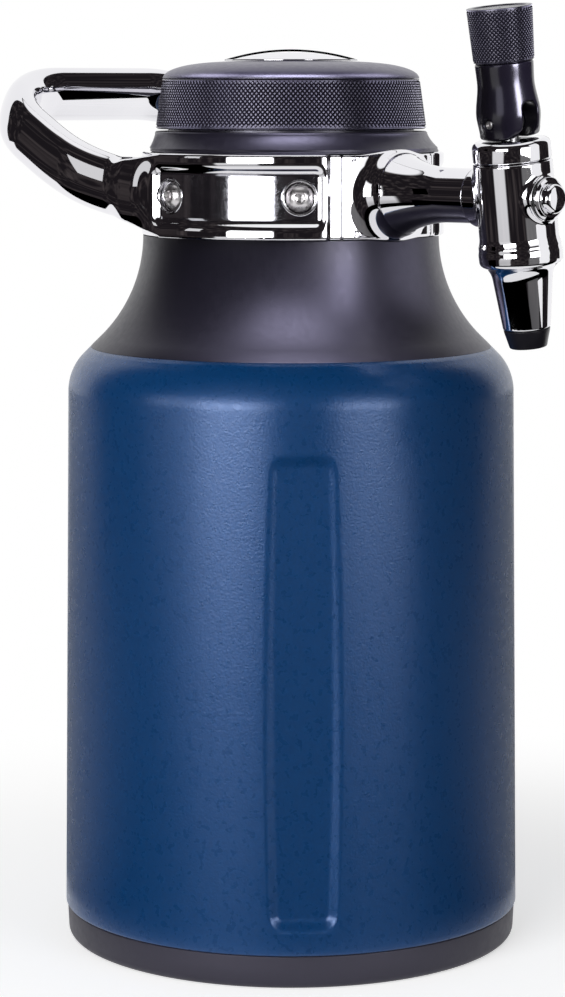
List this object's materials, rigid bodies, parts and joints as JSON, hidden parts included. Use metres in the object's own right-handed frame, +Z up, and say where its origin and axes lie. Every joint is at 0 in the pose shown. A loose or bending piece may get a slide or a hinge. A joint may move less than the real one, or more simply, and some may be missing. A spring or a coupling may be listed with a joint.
{
  "type": "pressurized growler",
  "caption": "Insulated pressurized growler with a loop handle, a lever tap on its collar, and a screw cap that holds a gas cartridge, a regulator and a pressure dial.",
  "frame": {"origin": "middle of the base's underside", "axes": "+Z up along the body's axis, +X towards the tap, the handle behind at -X"},
  "size_m": [0.2062, 0.135, 0.2758],
  "materials": {
    "boot_rubber": "matte, faint grain",
    "blue_coat": "fine textured powder coat",
    "steel": "brushed",
    "cover_black": "soft matte",
    "trim_black": "satin",
    "chrome": "polished",
    "screw_steel": "satin",
    "seal_rubber": "matte",
    "spout_black": "satin",
    "gloss_black": "high gloss",
    "knurl_black": "knurled, black anodised",
    "gas_metal": "satin anodised",
    "cartridge_steel": "plain zinc",
    "spring_steel": "drawn wire",
    "brass": "turned"
  },
  "bodies": {
    "vessel": {"base_boot": "boot_rubber", "outer_shell": "blue_coat", "vessel_floor": "steel", "inner_vessel": "steel", "shoulder_cover": "cover_black", "neck_ring": "steel", "neck_trim_ring": "trim_black", "handle_collar": "chrome", "tap_saddle": "chrome", "collar_screws": "screw_steel", "shank_gasket": "seal_rubber", "shank_nut": "steel", "dip_tube_elbow": "steel", "dip_tube": "steel", "faucet_body": "chrome", "spout_tip": "spout_black", "front_plug": "chrome", "plug_o_ring": "seal_rubber", "bonnet": "chrome", "bonnet_o_ring": "seal_rubber", "stem_seal": "seal_rubber", "stem_spring": "spring_steel"},
    "tap_stem": {"valve_stem": "steel", "seat_cup": "seal_rubber", "lever_pin": "screw_steel"},
    "tap_lever": {"lever_hub": "gloss_black", "lever_grip": "knurl_black"},
    "cap_seal": {"cap_gasket": "seal_rubber"},
    "gas_insert": {"cartridge_sleeve": "gas_metal", "co2_cartridge": "cartridge_steel", "regulator_body": "gas_metal", "piercing_pin": "steel", "diaphragm": "seal_rubber", "cartridge_seal": "seal_rubber", "relief_valve": "brass", "regulator_spring": "spring_steel"},
    "cap": {"cap_body": "trim_black"},
    "dial": {"dial_ring": "knurl_black", "dial_crown": "trim_black", "dial_badge": "chrome"},
    "pressure_screw": {"adjusting_screw": "steel", "spring_seat": "steel"}
  },
  "joints": [
    {"name": "lever_tilt", "type": "hinge", "parent": "tap_stem", "child": "tap_lever", "pos_m": [0.091, -0.00278, 0.24312], "axis": [0, 0.9914, 0.1305], "range_deg": [0, 45], "stiffness_Nm_per_rad": 0.12, "springref_deg": -8.59},
    {"name": "stem_lift", "type": "slide", "parent": "vessel", "child": "tap_stem", "axis": [0, -0.1305, 0.9914], "range_m": [0, 0.0026], "deforming": ["stem_spring"]},
    {"name": "cap_lift_off", "type": "slide", "parent": "vessel", "child": "cap_seal", "axis": [0, 0, 1], "range_m": [0, 0.11]},
    {"name": "cap_rise", "type": "slide", "parent": "cap_seal", "child": "gas_insert", "axis": [0, 0, 1], "range_m": [0, 0.0062]},
    {"name": "cap_turn", "type": "hinge", "parent": "gas_insert", "child": "cap", "pos_m": [0, 0, 0.25], "axis": [0, 0, 1], "range_deg": [0, 540]},
    {"name": "dial_turn", "type": "hinge", "parent": "cap", "child": "dial", "pos_m": [0, 0, 0.256], "axis": [0, 0, -1], "range_deg": [0, 270]},
    {"name": "screw_travel", "type": "slide", "parent": "cap", "child": "pressure_screw", "axis": [0, 0, -1], "range_m": [0, 0.0019], "deforming": ["regulator_spring"]}
  ],
  "couplings": [
    {"joint": "stem_lift", "follows": "lever_tilt", "m_per_rad": 0.0031},
    {"joint": "cap_rise", "follows": "cap_turn", "m_per_rad": 0.00063662},
    {"joint": "screw_travel", "follows": "dial_turn", "m_per_rad": 0.0004}
  ]
}
